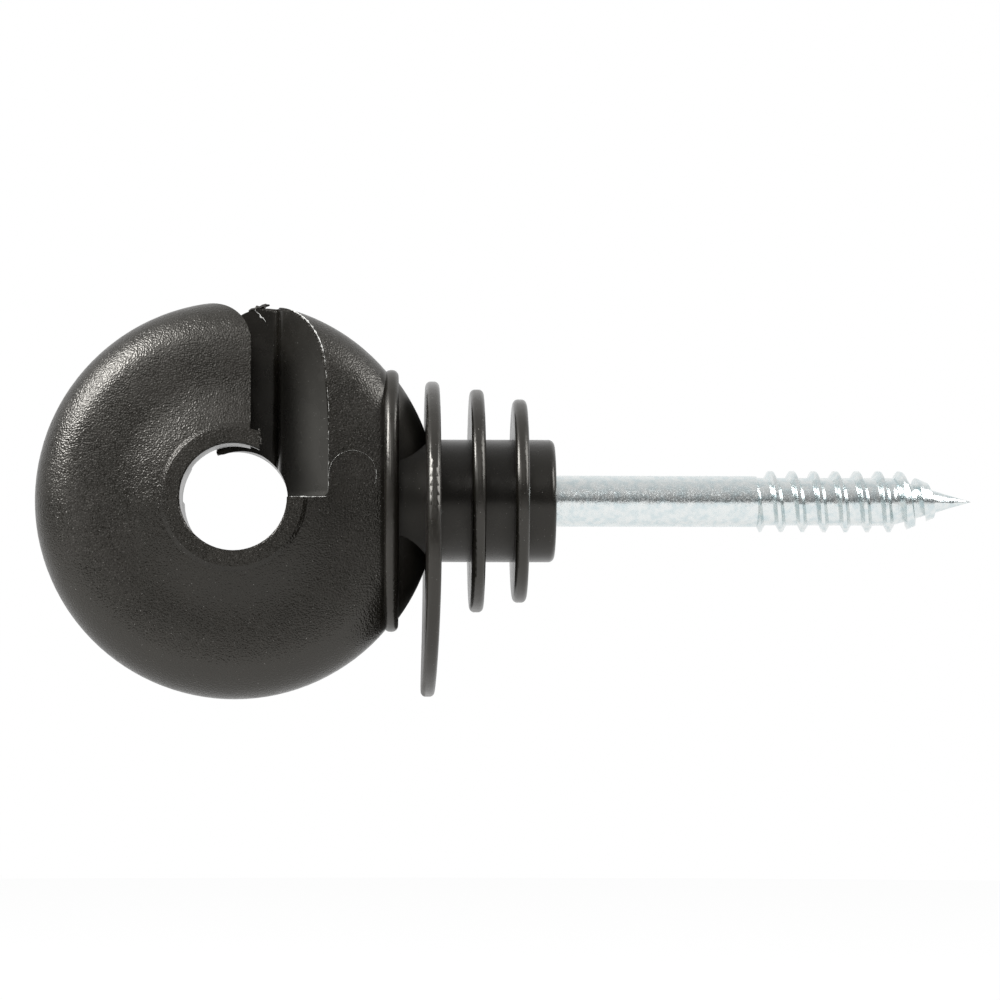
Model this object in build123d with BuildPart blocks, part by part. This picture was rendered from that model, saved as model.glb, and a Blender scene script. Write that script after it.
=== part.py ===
"""Screw-in ring insulator for an electric fence.

A black plastic moulding holds the fence wire in the bore of its round head, and a steel wood
screw moulded into its neck fastens it to a post.

Frame: millimetres, +Z up (the slot opens upwards), origin at the centre of the wire bore.
+X runs along the screw towards its point, and Y is the bore's axis, with the front at -Y.
"""

import os
from math import cos, hypot, radians, sin, sqrt, tan

from build123d import *

os.makedirs("parts", exist_ok=True)

# Head: a domed disc with a generously rounded rim
head_radius = 23.3
face_half_thickness = 6.98  # at the foot of the raised bore rim
face_slope = 6.6  # degrees, the face falls away from the bore
rim_round = 4.8
bore_radius = 6.2
bore_chamfer = 0.2
bore_rim_radius = 8.6
bore_rim_height = 0.35
bore_rim_slope = 0.5  # width of the rim's sloping edge
web_shift = 0.4  # the head's back, behind the collar, stands this much further out

# Slot: an S-shaped channel between two overlapping lips, open at the top
slot_floor = 0.0  # height of the ledges above the bore's axis
slot_half_gap = 1.9  # half the space between the two lips
slot_half_width = 4.95  # the channel behind the lips
slot_mouth = 11.0  # far wall of each mouth
mouth_edge_depth = 6.2  # where the mouth's upright edge meets its sloping wall
mouth_throat = 5.1  # where the sloping wall turns into the channel
mouth_throat_depth = 0.5
slot_nose_round = 2.0
slot_corner_round = 0.7
ledge_round = 0.9
front_lip_reach = 1.9
front_lip_round = 4.8  # outer top corner of the front lip
rear_lip_reach = 2.3
rear_lip_round = 5.8
nib_reach = 1.1  # the bore rim runs on past the front lip's edge
nib_depth = 1.2

# Ejector pin mark on the front face
pin_mark_x = 13.8
pin_mark_z = 2.7
pin_mark_radius = 2.75
pin_mark_depth = 0.08

# Collar, neck and sheds, along +X
collar_centre = 18.3
collar_thickness = 1.7
collar_half_height = 15.4
collar_half_depth = 9.4
collar_edge_round = 0.75
neck_radius = 7.2
boss_end = 37.45
boss_edge_round = 0.7
shed_thickness = 1.6
shed_edge_round = 0.6
# the two plain sheds: centre along X and radius
sheds = [(28.3, 13.1), (33.35, 11.95)]
# the shed beside the collar is larger, hangs below the neck's axis and bends towards the head
skirt_centre = 23.09
skirt_radius = 18.5
skirt_drop = 4.5
skirt_bend_start = -6.0
skirt_bend_radius = 280.0
skirt_bend_angle = 4.0

# Screw
shank_radius = 3.0
thread_start = 61.25
thread_pitch = 2.55
thread_lead_in = 0.4  # from the shank's end to the first crest on the underside
thread_root_radius = 2.8
thread_crest_radius = 3.6
thread_root_width = 1.3
thread_crest_width = 0.4
thread_runout = 0.4  # length over which the thread rises from the shank
taper_start = 78.3  # the crests start to fall towards the point
thread_end = 82.3
last_crest_height = 0.6  # what is left of the thread where it stops on the point
screw_tip = 86.75
point_half_angle = 16.5  # degrees
point_flats = 2.56  # across the four flats pinched onto the point, at its base
point_flats_turn = 20.0  # degrees
point_flats_lead = 0.15  # the flats would meet this far beyond the tip
anchor_start = 14.0  # flattened end of the screw, inside the moulding
anchor_end = 19.0
anchor_blend_end = 22.5
anchor_height = 8.4
anchor_thickness = 3.6
relief_radius = 3.75  # shallow pocket round the screw in the boss's end
relief_depth = 0.6

# Values that follow from the driving dimensions
beyond = 2 * head_radius  # clear of every surface
section_overrun = 1.0  # the skirt's section is cut wider than its outline
slope_sin = sin(radians(face_slope))
slope_cos = cos(radians(face_slope))
face_offset = bore_rim_radius * slope_sin + face_half_thickness * slope_cos
rim_edge = (face_offset - head_radius * slope_sin) / slope_cos
rim_band = rim_edge - rim_round * tan(radians(90 - face_slope) / 2)
lip_top_radius = head_radius - rim_round + sqrt(rim_round**2 - (slot_half_gap - rim_band) ** 2)
rim_top = face_half_thickness + bore_rim_height
pin_mark_out = hypot(pin_mark_x, pin_mark_z)
point_start = screw_tip - thread_root_radius / tan(radians(point_half_angle))
thread_end_radius = (screw_tip - thread_end) * tan(radians(point_half_angle))
last_crest_radius = thread_end_radius + last_crest_height


def domed_disc(centre_x):
    """The head's disc, turned about a line along Y at x = centre_x."""
    with BuildPart() as disc:
        with BuildSketch(Plane.XY.shift_origin((centre_x, 0, 0))) as half_section:
            Polygon(
                (head_radius, -rim_edge),
                (bore_rim_radius, -face_half_thickness),
                (bore_rim_radius - bore_rim_slope, -rim_top),
                (0, -rim_top),
                (0, rim_top),
                (bore_rim_radius - bore_rim_slope, rim_top),
                (bore_rim_radius, face_half_thickness),
                (head_radius, rim_edge),
                align=None,
            )
            fillet(half_section.vertices().group_by(Axis.X)[-1], radius=rim_round)
        revolve(axis=Axis((centre_x, 0, 0), (0, 1, 0)))
    return disc.part


def collar_disc():
    """The oval collar where the neck meets the head."""
    with BuildPart() as disc:
        with BuildSketch(Plane.YZ.offset(collar_centre - collar_thickness / 2)):
            Ellipse(collar_half_depth, collar_half_height)
        extrude(amount=collar_thickness)
        fillet(disc.edges(), radius=collar_edge_round)
    return disc.part


def shed_disc(centre_x, radius):
    """One of the plain rain sheds, a flat disc square to the neck."""
    with BuildPart() as disc:
        with BuildSketch(Plane.YZ.offset(centre_x - shed_thickness / 2)):
            Circle(radius)
        extrude(amount=shed_thickness)
        fillet(disc.edges().filter_by(GeomType.CIRCLE), radius=shed_edge_round)
    return disc.part


def skirt_disc():
    """The large shed beside the collar, flat above and gently bent towards the head below."""
    near = skirt_centre - shed_thickness / 2
    far = skirt_centre + shed_thickness / 2
    top = skirt_radius - skirt_drop + section_overrun
    half_width = skirt_radius + section_overrun
    with BuildPart() as disc:
        with BuildSketch(Plane.XZ.offset(-half_width)):
            with BuildLine():
                near_face = Line((near, top), (near, skirt_bend_start))
                near_bend = JernArc(near_face @ 1, near_face % 1, skirt_bend_radius, -skirt_bend_angle)
                far_face = Line((far, top), (far, skirt_bend_start))
                far_bend = JernArc(
                    far_face @ 1, far_face % 1, skirt_bend_radius + shed_thickness, -skirt_bend_angle
                )
                Line(near_bend @ 1, far_bend @ 1)
                Line(near_face @ 0, far_face @ 0)
            make_face()
        extrude(amount=2 * half_width)
        with BuildSketch(Plane.YZ.offset(skirt_centre - 2 * shed_thickness)):
            with Locations((0, -skirt_drop)):
                Circle(skirt_radius)
        extrude(amount=4 * shed_thickness, mode=Mode.INTERSECT)
        fillet(disc.edges().filter_by(GeomType.LINE, reverse=True), radius=shed_edge_round)
    return disc.part


def lip_corner(reach, corner_round):
    """Waste beyond the outer top corner of the front lip, whose edge is at x = reach."""
    centre_x = reach - corner_round
    centre_z = sqrt((lip_top_radius - corner_round) ** 2 - centre_x**2)
    to_outline = lip_top_radius / (lip_top_radius - corner_round)
    touch = (centre_x * to_outline, centre_z * to_outline)
    bulge = corner_round * sqrt(0.5)
    with BuildPart() as waste:
        with BuildSketch(Plane.XZ.offset(slot_half_gap)):
            with BuildLine():
                Polyline(touch, (touch[0], beyond), (reach, beyond), (reach, centre_z))
                ThreePointArc((reach, centre_z), (centre_x + bulge, centre_z + bulge), touch)
            make_face()
        extrude(amount=beyond)
    return waste.part


def half_slot_outline(reach):
    """Half of the slot's section seen from above, round the mouth beside the front lip."""
    return [
        (reach, -slot_half_gap),
        (reach, -beyond),
        (slot_mouth, -beyond),
        (slot_mouth, -mouth_edge_depth),
        (mouth_throat, -mouth_throat_depth),
        (slot_half_width, slot_half_gap),
    ]


# Slot cutter: the section is nearly the same turned half way round the Z axis
with BuildPart() as slot:
    with BuildSketch(Plane.XY.offset(slot_floor)) as slot_section:
        front_points = half_slot_outline(front_lip_reach)
        rear_points = [(-x, -y) for x, y in half_slot_outline(rear_lip_reach)]
        Polygon(*front_points, *rear_points, align=None)
        noses = slot_section.vertices().filter_by_position(Axis.Y, -mouth_throat_depth, mouth_throat_depth)
        fillet(noses, radius=slot_nose_round)
        corner_depths = (slot_half_gap, mouth_edge_depth)
        corners = [spot for spot in slot_section.vertices() if round(abs(spot.Y), 3) in corner_depths]
        fillet(corners, radius=slot_corner_round)
    extrude(amount=beyond)
    floor_edges = slot.edges().group_by(Axis.Z)[0]
    fillet([edge for edge in floor_edges if abs(edge.center().X) > slot_half_width], radius=ledge_round)

# Embedded end and shank of the screw, which is also the hollow it fills in the moulding
with BuildPart() as shank:
    with BuildSketch(Plane.YZ.offset(anchor_start)):
        SlotOverall(anchor_height, anchor_thickness, rotation=90)
    extrude(amount=anchor_end - anchor_start)
    with BuildSketch(Plane.YZ.offset(anchor_end)):
        SlotOverall(anchor_height, anchor_thickness, rotation=90)
    with BuildSketch(Plane.YZ.offset(anchor_blend_end)):
        Circle(shank_radius)
    loft()
    with BuildSketch(Plane.YZ.offset(anchor_blend_end)):
        Circle(shank_radius)
    extrude(amount=thread_start - anchor_blend_end)

with BuildPart() as neck:
    with BuildSketch(Plane.YZ.offset(collar_centre)):
        Circle(neck_radius)
    extrude(amount=boss_end - collar_centre)
    fillet(neck.edges().group_by(Axis.X)[-1], radius=boss_edge_round)

# The short piece of bore rim that runs on past the front lip
with BuildPart() as nib:
    with BuildSketch(Plane.XZ.offset(rim_top - nib_depth)):
        Circle(bore_rim_radius - bore_rim_slope)
        with Locations((front_lip_reach - bore_rim_radius / 2 + nib_reach, bore_rim_radius)):
            Rectangle(bore_rim_radius, 2 * bore_rim_radius, mode=Mode.INTERSECT)
    extrude(amount=nib_depth)

# Bore cutter, with a small chamfer at each face
with BuildPart() as bore:
    with BuildSketch(Plane.XY):
        Polygon(
            (0, -beyond),
            (bore_radius + bore_chamfer, -beyond),
            (bore_radius + bore_chamfer, -rim_top),
            (bore_radius, bore_chamfer - rim_top),
            (bore_radius, rim_top - bore_chamfer),
            (bore_radius + bore_chamfer, rim_top),
            (bore_radius + bore_chamfer, beyond),
            (0, beyond),
            align=None,
        )
    revolve(axis=Axis.Y)

# The ejector pin's mark lies on the sloping face
pin_mark_plane = Plane(
    origin=(pin_mark_x, (slope_sin * pin_mark_out - face_offset) / slope_cos, pin_mark_z),
    z_dir=(slope_sin * pin_mark_x / pin_mark_out, -slope_cos, slope_sin * pin_mark_z / pin_mark_out),
)

head = domed_disc(0)
web = split(domed_disc(web_shift), bisect_by=Plane.YZ.offset(collar_centre), keep=Keep.TOP)
collar = collar_disc()
skirt = skirt_disc()
shed_discs = [shed_disc(x, radius) for x, radius in sheds]
front_waste = lip_corner(front_lip_reach, front_lip_round)
rear_waste = lip_corner(rear_lip_reach, rear_lip_round).rotate(Axis.Z, 180)

with BuildPart() as insulator_body:
    add([head, web, collar, neck.part, skirt, *shed_discs])
    add([slot.part, front_waste, rear_waste], mode=Mode.SUBTRACT)
    add(nib.part)
    add(bore.part, mode=Mode.SUBTRACT)
    with BuildSketch(pin_mark_plane.offset(-pin_mark_depth)):
        Circle(pin_mark_radius)
    extrude(amount=bore_radius, mode=Mode.SUBTRACT)
    add(shank.part, mode=Mode.SUBTRACT)
    with BuildSketch(Plane.YZ.offset(boss_end - relief_depth)):
        Circle(relief_radius)
    extrude(amount=relief_depth, mode=Mode.SUBTRACT)

insulator_body.part.label = "insulator_body"
export_step(insulator_body.part, "parts/insulator_body.step")

# Thread: one helical ridge, made along Z and trimmed to the crests' outline
ridge_length = thread_end - thread_start + 2 * thread_pitch
with BuildPart() as ridge:
    with BuildLine():
        helix = Helix(thread_pitch, ridge_length, thread_root_radius)
    with BuildSketch(Plane.XZ):
        Polygon(
            (thread_end_radius, -thread_root_width / 2),
            (thread_root_radius, -thread_root_width / 2),
            (thread_crest_radius, -thread_crest_width / 2),
            (thread_crest_radius, thread_crest_width / 2),
            (thread_root_radius, thread_root_width / 2),
            (thread_end_radius, thread_root_width / 2),
            align=None,
        )
    sweep(path=helix, is_frenet=True)

# The tip beyond the thread: a cone with four flats
with BuildPart() as point:
    with BuildSketch(Plane.XY):
        Polygon((thread_end, 0), (thread_end, thread_end_radius), (screw_tip, 0), align=None)
    revolve(axis=Axis.X)
    with BuildSketch(Plane.YZ.offset(thread_end)):
        Rectangle(point_flats, point_flats, rotation=point_flats_turn)
    with BuildSketch(Plane.YZ.offset(screw_tip)):
        tip_flats = point_flats * point_flats_lead / (screw_tip + point_flats_lead - thread_end)
        Rectangle(tip_flats, tip_flats, rotation=point_flats_turn)
    loft(mode=Mode.INTERSECT)

ridge_start = thread_start + thread_lead_in - thread_pitch
ridge_along_screw = ridge.part.rotate(Axis.Y, 90).moved(Location((ridge_start, 0, 0)))

with BuildPart() as screw:
    add(ridge_along_screw)
    with BuildSketch(Plane.XY):
        Polygon(
            (thread_start, 0),
            (thread_start, thread_root_radius),
            (thread_start + thread_runout, thread_crest_radius),
            (taper_start, thread_crest_radius),
            (thread_end, last_crest_radius),
            (thread_end, 0),
            align=None,
        )
    revolve(axis=Axis.X, mode=Mode.INTERSECT)
    with BuildSketch(Plane.XY):
        Polygon(
            (thread_start, 0),
            (thread_start, shank_radius),
            (thread_start + thread_runout / 2, thread_root_radius),
            (point_start, thread_root_radius),
            (thread_end, thread_end_radius),
            (thread_end, 0),
            align=None,
        )
    revolve(axis=Axis.X)
    add([point.part, shank.part])

screw.part.label = "screw"
export_step(screw.part, "parts/screw.step")
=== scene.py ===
"""Looks, light and camera for the screw-in ring insulator. Metres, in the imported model's frame."""

import math
import random

import bpy
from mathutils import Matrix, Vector


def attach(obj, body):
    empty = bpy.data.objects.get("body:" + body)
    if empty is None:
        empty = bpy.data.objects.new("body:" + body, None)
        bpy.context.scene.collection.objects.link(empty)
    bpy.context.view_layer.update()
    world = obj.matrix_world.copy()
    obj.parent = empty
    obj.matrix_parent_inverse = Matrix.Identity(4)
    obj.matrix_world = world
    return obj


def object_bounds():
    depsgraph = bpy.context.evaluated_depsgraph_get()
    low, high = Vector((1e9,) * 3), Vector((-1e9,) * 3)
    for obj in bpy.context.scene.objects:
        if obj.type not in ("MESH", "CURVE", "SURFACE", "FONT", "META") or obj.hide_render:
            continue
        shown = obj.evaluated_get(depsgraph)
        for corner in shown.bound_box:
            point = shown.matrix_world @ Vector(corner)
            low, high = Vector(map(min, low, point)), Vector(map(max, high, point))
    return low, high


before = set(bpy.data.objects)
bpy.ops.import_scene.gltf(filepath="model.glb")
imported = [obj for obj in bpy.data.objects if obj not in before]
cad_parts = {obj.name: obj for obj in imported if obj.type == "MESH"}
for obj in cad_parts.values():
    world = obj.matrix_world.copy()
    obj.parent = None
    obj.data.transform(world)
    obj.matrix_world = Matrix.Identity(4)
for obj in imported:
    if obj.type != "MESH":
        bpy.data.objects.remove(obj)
cad_low, cad_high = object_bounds()

MM = 0.001
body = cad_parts["insulator_body"]
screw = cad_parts["screw"]

# Shape of the moulding, in the part's own millimetres
HEAD_RADIUS = 23.3
RIM_ROUND = 4.8
RIM_BAND = 1.0  # half the width of the straight band round the rim
FACE_DEPTH = 7.975  # the sloping face, carried on to the bore's axis
FACE_FALL = 0.1157  # how much the face falls away per millimetre outwards
BORE_RADIUS = 6.2
MOUTH_X = 11.0  # the slot's front mouth
MOUTH_EDGE_DEPTH = 6.2
MOUTH_SLOPE = 1.035  # how far the sloping wall runs back along X per millimetre of depth
TONGUE_DEPTH = 1.85  # front face of the rear lip
PIN_MARK = (13.8, 2.7)  # centre of the ejector pin's mark, X and Z
PIN_MARK_RADIUS = 2.75
COLLAR_X = 17.3
WEB_X = 18.9  # the web lies between the collar and the first shed
WEB_END_X = 22.4
NECK_X = 19.0
NECK_END_X = 34.4
NECK_RADIUS = 7.4

# ---------------------------------------------------------------- shader helpers


class Shader:
    """A material's node tree, with short calls for the nodes that are used again and again."""

    def __init__(self, name):
        self.material = bpy.data.materials.new(name)
        self.material.use_nodes = True
        self.tree = self.material.node_tree
        self.tree.nodes.clear()
        self.place = self.node("ShaderNodeTexCoord").outputs["Object"]

    def node(self, kind, **settings):
        made = self.tree.nodes.new(kind)
        for key, value in settings.items():
            setattr(made, key, value)
        return made

    def feed(self, socket, value):
        if isinstance(value, bpy.types.NodeSocket):
            self.tree.links.new(value, socket)
        else:
            socket.default_value = value

    def math(self, operation, a, b=0.0):
        made = self.node("ShaderNodeMath", operation=operation)
        self.feed(made.inputs[0], a)
        self.feed(made.inputs[1], b)
        return made.outputs[0]

    def product(self, first, *others):
        for other in others:
            first = self.math("MULTIPLY", first, other)
        return first

    def total(self, first, *others):
        for other in others:
            first = self.math("ADD", first, other)
        return first

    def rest(self, share):
        return self.math("SUBTRACT", 1.0, share)

    def distance(self, a, b):
        """Length of the line whose two components these are."""
        return self.math("SQRT", self.total(self.math("POWER", a, 2.0), self.math("POWER", b, 2.0)))

    def spread(self, kind, value, low, high, to_low, to_high):
        made = self.node("ShaderNodeMapRange", interpolation_type=kind)
        for socket, number in zip(made.inputs, (value, low, high, to_low, to_high)):
            self.feed(socket, number)
        return made.outputs["Result"]

    def ramp(self, value, low, high, to_low=0.0, to_high=1.0):
        return self.spread("SMOOTHSTEP", value, low, high, to_low, to_high)

    def slope(self, value, low, high, to_low, to_high):
        return self.spread("LINEAR", value, low, high, to_low, to_high)

    def noise(self, size_mm, detail, roughness):
        made = self.node("ShaderNodeTexNoise")
        self.feed(made.inputs["Vector"], self.place)
        made.inputs["Scale"].default_value = 1 / (size_mm * MM)
        made.inputs["Detail"].default_value = detail
        made.inputs["Roughness"].default_value = roughness
        return made.outputs["Fac"]

    def mix(self, share, a, b):
        made = self.node("ShaderNodeMix", data_type="RGBA")
        self.feed(made.inputs[0], share)
        self.feed(made.inputs[6], a)
        self.feed(made.inputs[7], b)
        return made.outputs[2]

    def blend(self, share, a, b):
        made = self.node("ShaderNodeMix", data_type="VECTOR")
        self.feed(made.inputs[0], share)
        self.feed(made.inputs[4], a)
        self.feed(made.inputs[5], b)
        return made.outputs[1]

    def millimetres(self):
        """The point's X, Y and Z in the part's own millimetres."""
        parts = self.node("ShaderNodeSeparateXYZ")
        self.feed(parts.inputs[0], self.place)
        return [self.math("DIVIDE", axis, MM) for axis in parts.outputs]

    def bump(self, height, depth_mm, below=None):
        made = self.node("ShaderNodeBump")
        self.feed(made.inputs["Height"], height)
        made.inputs["Distance"].default_value = depth_mm * MM
        made.inputs["Strength"].default_value = 1.0
        if below is not None:
            self.feed(made.inputs["Normal"], below)
        return made.outputs["Normal"]

    def surface(self, **values):
        shader = self.node("ShaderNodeBsdfPrincipled")
        for key, value in values.items():
            self.feed(shader.inputs[key.replace("_", " ")], value)
        return self.finish(shader)

    def finish(self, shader):
        output = self.node("ShaderNodeOutputMaterial")
        self.tree.links.new(shader.outputs[0], output.inputs["Surface"])
        return self.material


# ---------------------------------------------------------------- black plastic


def skin_mask(s, x, y, out):
    """One on the head's grained outer skin, zero on the slot, bore, neck and sheds."""
    deep = s.math("ABSOLUTE", y)
    face_depth = s.math("SUBTRACT", FACE_DEPTH, s.product(out, FACE_FALL))
    on_face = s.ramp(s.math("SUBTRACT", deep, face_depth), -0.30, -0.12)
    past = s.math("MAXIMUM", s.math("SUBTRACT", out, HEAD_RADIUS - RIM_ROUND), 0.0)
    rise = s.math("MAXIMUM", s.math("SUBTRACT", deep, RIM_BAND), 0.0)
    on_rim = s.ramp(s.distance(past, rise), RIM_ROUND - 0.5, RIM_ROUND - 0.2)
    on_rim = s.product(on_rim, s.math("GREATER_THAN", past, 0.01))
    on_head = s.ramp(x, COLLAR_X - 0.1, COLLAR_X - 0.4)
    return s.product(s.math("MAXIMUM", on_face, on_rim), on_head)


def mouth_wall_painted_light_mask(s, x, y, z):
    """Painted light on the sloping wall of the front mouth: paler towards its outer and lower edges."""
    outwards = s.product(s.ramp(x, 3.2, 9.4), s.math("LESS_THAN", x, MOUTH_X + 0.05))
    in_mouth = s.product(s.math("LESS_THAN", y, 0.5), s.math("GREATER_THAN", z, 0.05))
    return s.product(outwards, in_mouth, s.ramp(z, 6.0, 21.0, 1.0, 0.35))


def neck_masks(s, x, y, z):
    """The collar and sheds, the upper half of the neck, and the web beside the collar. The first two place a
    painted highlight and a painted shade.
    """
    from_axis = s.distance(y, z)
    sheds = s.product(s.ramp(from_axis, NECK_RADIUS, NECK_RADIUS + 1.0), s.ramp(x, COLLAR_X, COLLAR_X + 0.3))
    neck = s.product(
        s.ramp(from_axis, NECK_RADIUS, NECK_RADIUS - 0.1),
        s.ramp(x, NECK_END_X, NECK_END_X - 0.4),
        s.ramp(x, NECK_X, NECK_X + 0.4),
        s.ramp(z, -2.6, 0.4),
    )
    web = s.product(s.ramp(x, WEB_X, WEB_X + 0.3), s.ramp(x, WEB_END_X, WEB_END_X - 0.3))
    return sheds, neck, web


def black_plastic():
    s = Shader("black_plastic")
    x, y, z = s.millimetres()
    out = s.distance(x, z)
    skin = skin_mask(s, x, y, out)
    sheds, neck, web = neck_masks(s, x, y, z)
    leather = s.noise(0.19, 0.0, 0.5)
    sparkle = s.noise(0.15, 0.0, 0.5)
    patches = s.ramp(s.noise(5.0, 3.0, 0.6), 0.35, 0.65)

    # Gloss: bare tool-polished plastic, and the worn grain of the skin
    bare = s.total(s.ramp(patches, 0.0, 1.0, 0.24, 0.31), s.product(web, 0.18))
    worn = s.total(s.ramp(patches, 0.0, 1.0, 0.28, 0.34), s.slope(sparkle, 0.3, 0.7, -0.08, 0.08))
    rough = s.total(s.product(bare, s.rest(skin)), s.product(worn, skin))
    # The reflection level is painted light and shade: a painted highlight on the sheds and the head's outer
    # rim, and painted shade on the upper half of the neck between the sheds.
    rim = s.product(s.ramp(out, 14.5, 20.0), skin)
    painted_reflection_level = s.total(0.48, s.product(sheds, 0.20), s.product(neck, -0.12), s.product(rim, 0.20))

    # Colour: near black, with pale grain on the skin, painted light on the front mouth's sloping wall and a
    # few pale specks
    tone = s.mix(patches, (0.0036, 0.0030, 0.0020, 1), (0.0056, 0.0047, 0.0034, 1))
    grains = s.product(s.slope(sparkle, 0.35, 0.75, 0.0, 0.35), skin)
    tone = s.mix(grains, tone, (0.020, 0.0188, 0.0165, 1))
    # Painted light: the mouth's sloping wall is lifted to a paler tone.
    tone = s.mix(s.product(mouth_wall_painted_light_mask(s, x, y, z), s.rest(skin)), tone, (0.036, 0.035, 0.032, 1))
    specks = s.ramp(s.noise(0.16, 1.0, 0.5), 0.76, 0.79)
    tone = s.mix(s.product(specks, 0.5), tone, (0.35, 0.34, 0.32, 1))

    # Relief: moulding waves, a soft shoulder round the bore, the rim's extra fall and the grain
    shoulder = s.total(
        s.ramp(out, 7.2, 14.2, 0.72, 0.0),
        s.ramp(out, 11.0, 19.0, 0.0, 0.22),
        s.ramp(out, 17.9, 22.1, 0.0, -0.20),
    )
    soft = s.bump(s.noise(6.0, 2.0, 0.5), 0.10, s.bump(s.noise(1.6, 2.0, 0.6), 0.02))
    grained = s.bump(leather, 0.06, s.bump(shoulder, 1.0, soft))
    polished = s.bump(leather, 0.0015, soft)
    return s.surface(
        Base_Color=tone,
        Roughness=rough,
        Specular_IOR_Level=painted_reflection_level,
        Specular_Tint=(1.0, 0.965, 0.90, 1),
        Normal=s.blend(skin, polished, grained),
    )


# ---------------------------------------------------------------- zinc and torn plastic


def zinc_plate():
    s = Shader("zinc_plate")
    speckle = s.noise(0.16, 4.0, 0.7)
    blotches = s.noise(0.8, 2.0, 0.6)
    dull = s.ramp(speckle, 0.42, 0.62)
    return s.surface(
        Base_Color=s.mix(s.ramp(blotches, 0.35, 0.7), (0.76, 0.79, 0.785, 1), (0.63, 0.705, 0.72, 1)),
        Metallic=1.0,
        Roughness=s.ramp(dull, 0.0, 1.0, 0.10, 0.34),
        Normal=s.bump(speckle, 0.012, s.bump(blotches, 0.03)),
    )


def scuffed_and_painted_highlight_plastic():
    """Torn flash and scraped edges, which go pale and dull, and the painted highlight on the pin mark's
    upper edge.
    """
    s = Shader("scuffed_and_painted_highlight_plastic")
    crumbs = s.noise(0.15, 2.0, 0.6)
    return s.surface(
        Base_Color=s.mix(s.ramp(crumbs, 0.35, 0.65), (0.34, 0.34, 0.32, 1), (0.80, 0.80, 0.77, 1)),
        Roughness=0.55,
        Normal=s.bump(crumbs, 0.03),
    )


def dress(piece, material):
    piece.data.materials.clear()
    piece.data.materials.append(material)


dark = black_plastic()
pale = scuffed_and_painted_highlight_plastic()
dress(body, dark)
dress(screw, zinc_plate())

# ---------------------------------------------------------------- moulding flash and scuffs


def plastic_piece(name, corners, faces, material):
    """A small closed piece that rides on the body, with its corners in millimetres."""
    mesh = bpy.data.meshes.new(name)
    mesh.from_pydata([corner * MM for corner in corners], [], faces)
    mesh.materials.append(material)
    piece = bpy.data.objects.new(name, mesh)
    bpy.context.collection.objects.link(piece)
    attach(piece, "root")


def tube_faces(rings, sides):
    """Faces of a closed tube whose corners are listed ring by ring."""
    last = (rings - 1) * sides
    faces = [tuple(reversed(range(sides)))]
    for start in range(0, last, sides):
        for turn in range(sides):
            after = (turn + 1) % sides
            faces.append((start + turn, start + after, start + sides + after, start + sides + turn))
    faces.append(tuple(range(last, last + sides)))
    return faces


def skin_depth(out):
    """How far the head's outer skin lies from its middle plane, at this distance from the bore's axis."""
    past = out - (HEAD_RADIUS - RIM_ROUND)
    if past <= RIM_ROUND * FACE_FALL:
        return FACE_DEPTH - FACE_FALL * out
    return RIM_BAND + math.sqrt(max(RIM_ROUND**2 - past**2, 0.0))


def mouth_edge(z):
    """Where the front mouth's wall meets the skin at this height."""
    x = MOUTH_X
    for _ in range(40):
        depth = skin_depth(math.hypot(x, z))
        goal = MOUTH_X - max(MOUTH_EDGE_DEPTH - depth, 0.0) * MOUTH_SLOPE
        x += (goal - x) / 3
    return Vector((x, -depth, z))


def bead(name, path, low, high, material, seed):
    """A closed, uneven four-sided bead along a path, of random half width between low and high."""
    pick = random.Random(seed)
    corners = []
    for index, spot in enumerate(path):
        heading = (path[min(index + 1, len(path) - 1)] - path[max(index - 1, 0)]).normalized()
        side = heading.cross(Vector((0, 1, 0))).normalized()
        front = side.cross(heading)
        to_end = min(index, len(path) - 1 - index)
        half = (low + (high - low) * pick.random() ** 2) * min(1.0, 0.3 + 0.35 * to_end)
        lean = Vector((pick.uniform(-1, 1), pick.uniform(-1, 1), pick.uniform(-1, 1))) * half * 0.4
        for arm in (side, front, -side, -front):
            corners.append(spot + lean + arm * half)
    plastic_piece(name, corners, tube_faces(len(path), 4), material)


def line(start, end, count):
    return [Vector(start).lerp(Vector(end), index / (count - 1)) for index in range(count)]


def tongue_drip(name, material):
    """Thin flash hanging from the front edge of the rear lip's underside, deepest at its tip."""
    corners = []
    count = 24
    front = Vector((0, TONGUE_DEPTH, 0))
    back = front + Vector((0, 2.6, 0))
    for step in range(count):
        share = step / (count - 1)
        turn = math.radians(111.5 - 51.5 * share)
        hang = 0.60 * (1 - share) ** 1.2 * min(1.0, 0.55 + 3 * share) + 0.01
        top = Vector((math.cos(turn), 0, math.sin(turn)))
        corners.append(top * (BORE_RADIUS + 0.1) + front)
        corners.append(top * (BORE_RADIUS - hang) + front)
        corners.append(top * (BORE_RADIUS + 0.1) + back)
    plastic_piece(name, corners, tube_faces(count, 3), material)


def flash_dashes(edge, seed):
    """Short stretches of fine flash along an edge, with gaps between them."""
    lengths = random.Random(seed)
    start = 0
    while start < len(edge) - 4:
        stop = start + lengths.randint(3, 12)
        bead(f"flash_mouth_side.{start}", edge[start:stop], 0.004, 0.03, pale, start)
        start = stop + lengths.randint(1, 6)


def pin_mark_arc():
    """The upper part of the ejector pin's mark, on the skin, which carries its painted highlight."""
    spots = []
    for step in range(40):
        turn = math.radians(-25 + 5.6 * step)
        x = PIN_MARK[0] + PIN_MARK_RADIUS * math.cos(turn)
        z = PIN_MARK[1] + PIN_MARK_RADIUS * math.sin(turn)
        spots.append(Vector((x, -skin_depth(math.hypot(x, z)), z)))
    return spots


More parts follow.
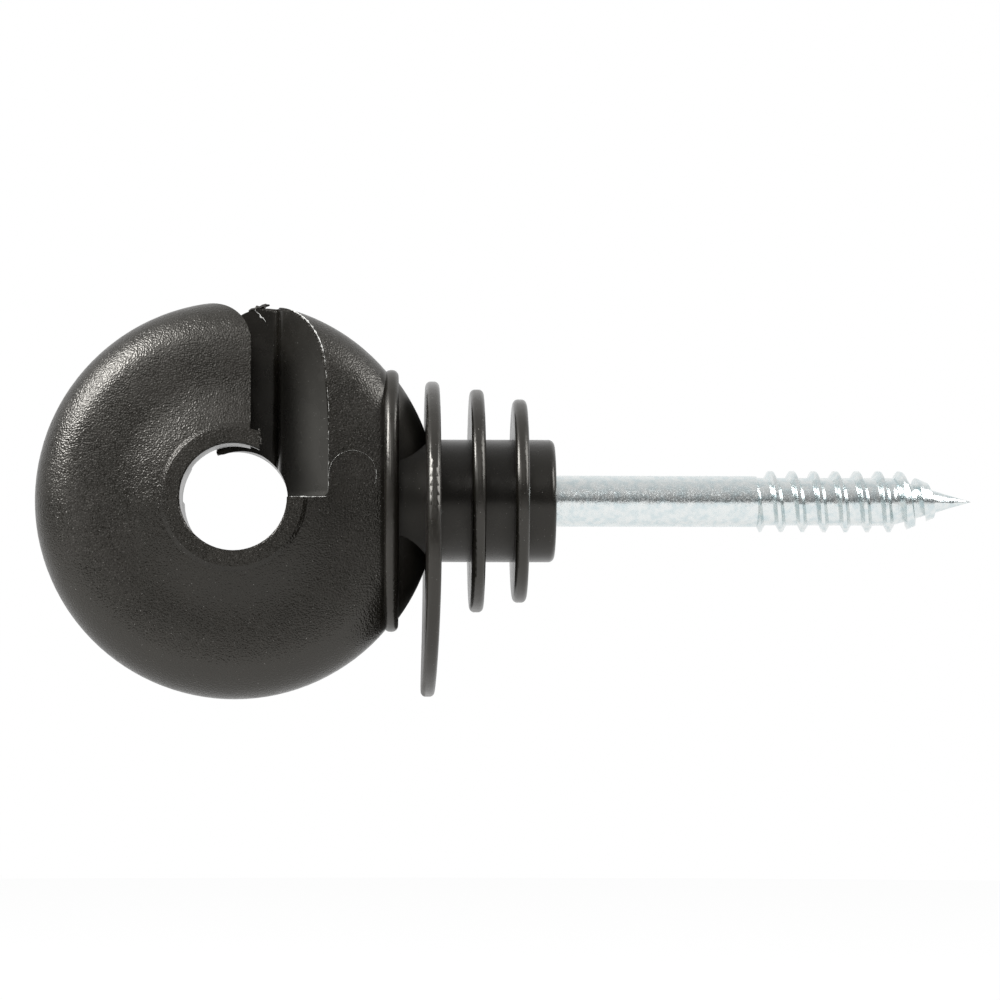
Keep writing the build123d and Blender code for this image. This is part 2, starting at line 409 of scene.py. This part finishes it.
bead("flash_mouth_top", [mouth_edge(22.4 - 0.12 * step) for step in range(46)], 0.015, 0.12, pale, 3)
flash_dashes([mouth_edge(16.9 - 0.14 * step) for step in range(118)], 5)
ledge_edge = line((6.4, -7.3, 0.0), (8.1, -7.3, 0.0), 10) + line((8.7, -6.97, 0.0), (10.8, -6.72, 0.05), 14)
bead("flash_ledge", ledge_edge, 0.01, 0.07, pale, 8)
# Pale bead on the pin mark's upper edge only: a painted highlight where the light catches it.
bead("pin_mark_painted_highlight", pin_mark_arc(), 0.003, 0.02, pale, 10)
bead("witness_line", line((5.0, 1.86, 21.5), (5.0, 1.86, 4.5), 60), 0.005, 0.03, dark, 12)
bead("nib_burr", line((3.0, -7.1, 7.9), (3.05, -7.1, 5.7), 12), 0.10, 0.32, dark, 17)
bead("lip_burr", line((1.9, -6.3, 19.0), (1.92, -7.0, 8.4), 44), 0.02, 0.12, dark, 19)
tongue_drip("tongue_drip", dark)
bead("tongue_burr", line((1.4, 2.3, 22.6), (3.9, 2.3, 23.35), 14), 0.2, 0.4, dark, 23)
scuff_spots = ((2.2, 22.7), (2.5, 22.3), (2.75, 22.2), (2.9, 21.8), (3.2, 21.7), (3.5, 21.2))
bead("tongue_scuff", [Vector((x, TONGUE_DEPTH, z)) for x, z in scuff_spots], 0.02, 0.12, pale, 29)

# ---------------------------------------------------------------- stage

FLOOR_DROP = 40 * MM
FLOOR_RADIUS = 560 * MM  # its near edge is what the smooth parts mirror as a crisp line
FLOOR_GLOW = 0.79  # share of plain white light in the floor, as the part sees it
FLOOR_GLOW_SEEN = 0.93  # and as the camera sees it
ROOM_RADIANCE = 0.17
CEILING_RADIANCE = 0.75


def pale_floor():
    s = Shader("pale_floor")
    shader = s.node("ShaderNodeBsdfDiffuse")
    shader.inputs["Color"].default_value = (0.7, 0.7, 0.7, 1)
    glow = s.node("ShaderNodeEmission")
    glow.inputs["Strength"].default_value = 1.0
    mixed = s.node("ShaderNodeMixShader")
    camera_ray = s.node("ShaderNodeLightPath").outputs["Is Camera Ray"]
    s.feed(mixed.inputs[0], s.ramp(camera_ray, 0.0, 1.0, FLOOR_GLOW, FLOOR_GLOW_SEEN))
    s.feed(mixed.inputs[1], shader.outputs[0])
    s.feed(mixed.inputs[2], glow.outputs[0])
    return s.finish(mixed)


bpy.ops.mesh.primitive_circle_add(
    vertices=96, radius=FLOOR_RADIUS, fill_type="NGON", location=(0, 0, cad_low.z - FLOOR_DROP)
)
floor = bpy.context.object
floor.name = "floor"
floor.data.materials.append(pale_floor())


def studio_world():
    """White behind, dim behind the camera and brighter overhead. The camera sees white."""
    world = bpy.data.worlds.new("studio")
    bpy.context.scene.world = world
    world.use_nodes = True
    tree = world.node_tree
    background = tree.nodes["Background"]
    background.inputs["Color"].default_value = (1, 1, 1, 1)
    parts = tree.nodes.new("ShaderNodeSeparateXYZ")
    ceiling = tree.nodes.new("ShaderNodeMapRange")
    room = tree.nodes.new("ShaderNodeMapRange")
    room.interpolation_type = "SMOOTHSTEP"
    brighter = tree.nodes.new("ShaderNodeMath")
    brighter.operation = "MAXIMUM"
    camera_ray = tree.nodes.new("ShaderNodeLightPath").outputs["Is Camera Ray"]
    for socket, value in zip(ceiling.inputs[1:5], (0.0, 1.0, ROOM_RADIANCE, CEILING_RADIANCE)):
        socket.default_value = value
    for socket, value in zip(room.inputs[1:5], (-0.25, 0.75, ROOM_RADIANCE, 1.0)):
        socket.default_value = value
    tree.links.new(tree.nodes.new("ShaderNodeTexCoord").outputs["Generated"], parts.inputs[0])
    tree.links.new(parts.outputs["Z"], ceiling.inputs["Value"])
    tree.links.new(parts.outputs["Y"], room.inputs["Value"])
    tree.links.new(ceiling.outputs["Result"], room.inputs["To Min"])
    tree.links.new(room.outputs["Result"], brighter.inputs[0])
    tree.links.new(camera_ray, brighter.inputs[1])
    tree.links.new(brighter.outputs[0], background.inputs["Strength"])


studio_world()

# ---------------------------------------------------------------- lights and camera

middle = (cad_low + cad_high) / 2
LAMP_DISTANCE = 0.6


def softbox(name, direction, size, radiance):
    """A square lamp facing the part, with its radiance kept whatever its size."""
    data = bpy.data.lights.new(name, "AREA")
    data.shape = "RECTANGLE"
    data.size = size
    data.size_y = size
    data.energy = radiance * math.pi * size**2
    lamp = bpy.data.objects.new(name, data)
    bpy.context.collection.objects.link(lamp)
    lamp.location = middle + Vector(direction) * LAMP_DISTANCE
    lamp.rotation_euler = (middle - lamp.location).to_track_quat("-Z", "Y").to_euler()


softbox("key", (-0.71, -0.40, 0.60), 0.26, 24.0)
softbox("front_panel", (-0.27, -0.83, 0.49), 0.22, 3.0)
softbox("right_side", (0.78, -0.34, 0.52), 0.32, 7.0)

SENSOR_WIDTH = 36
PICTURE_WIDTH = 117.6 * MM  # at the target's distance
eye = Vector((15.0, -450.0, -28.6)) * MM
target = Vector((31.1, 0.0, 0.12)) * MM
camera_data = bpy.data.cameras.new("camera")
camera_data.sensor_width = SENSOR_WIDTH
camera_data.lens = SENSOR_WIDTH * (target - eye).length / PICTURE_WIDTH
camera_data.clip_start = 0.01
camera = bpy.data.objects.new("camera", camera_data)
bpy.context.collection.objects.link(camera)
camera.location = eye
camera.rotation_euler = (target - eye).to_track_quat("-Z", "Y").to_euler()
bpy.context.scene.camera = camera
bpy.context.scene.view_settings.view_transform = "Standard"
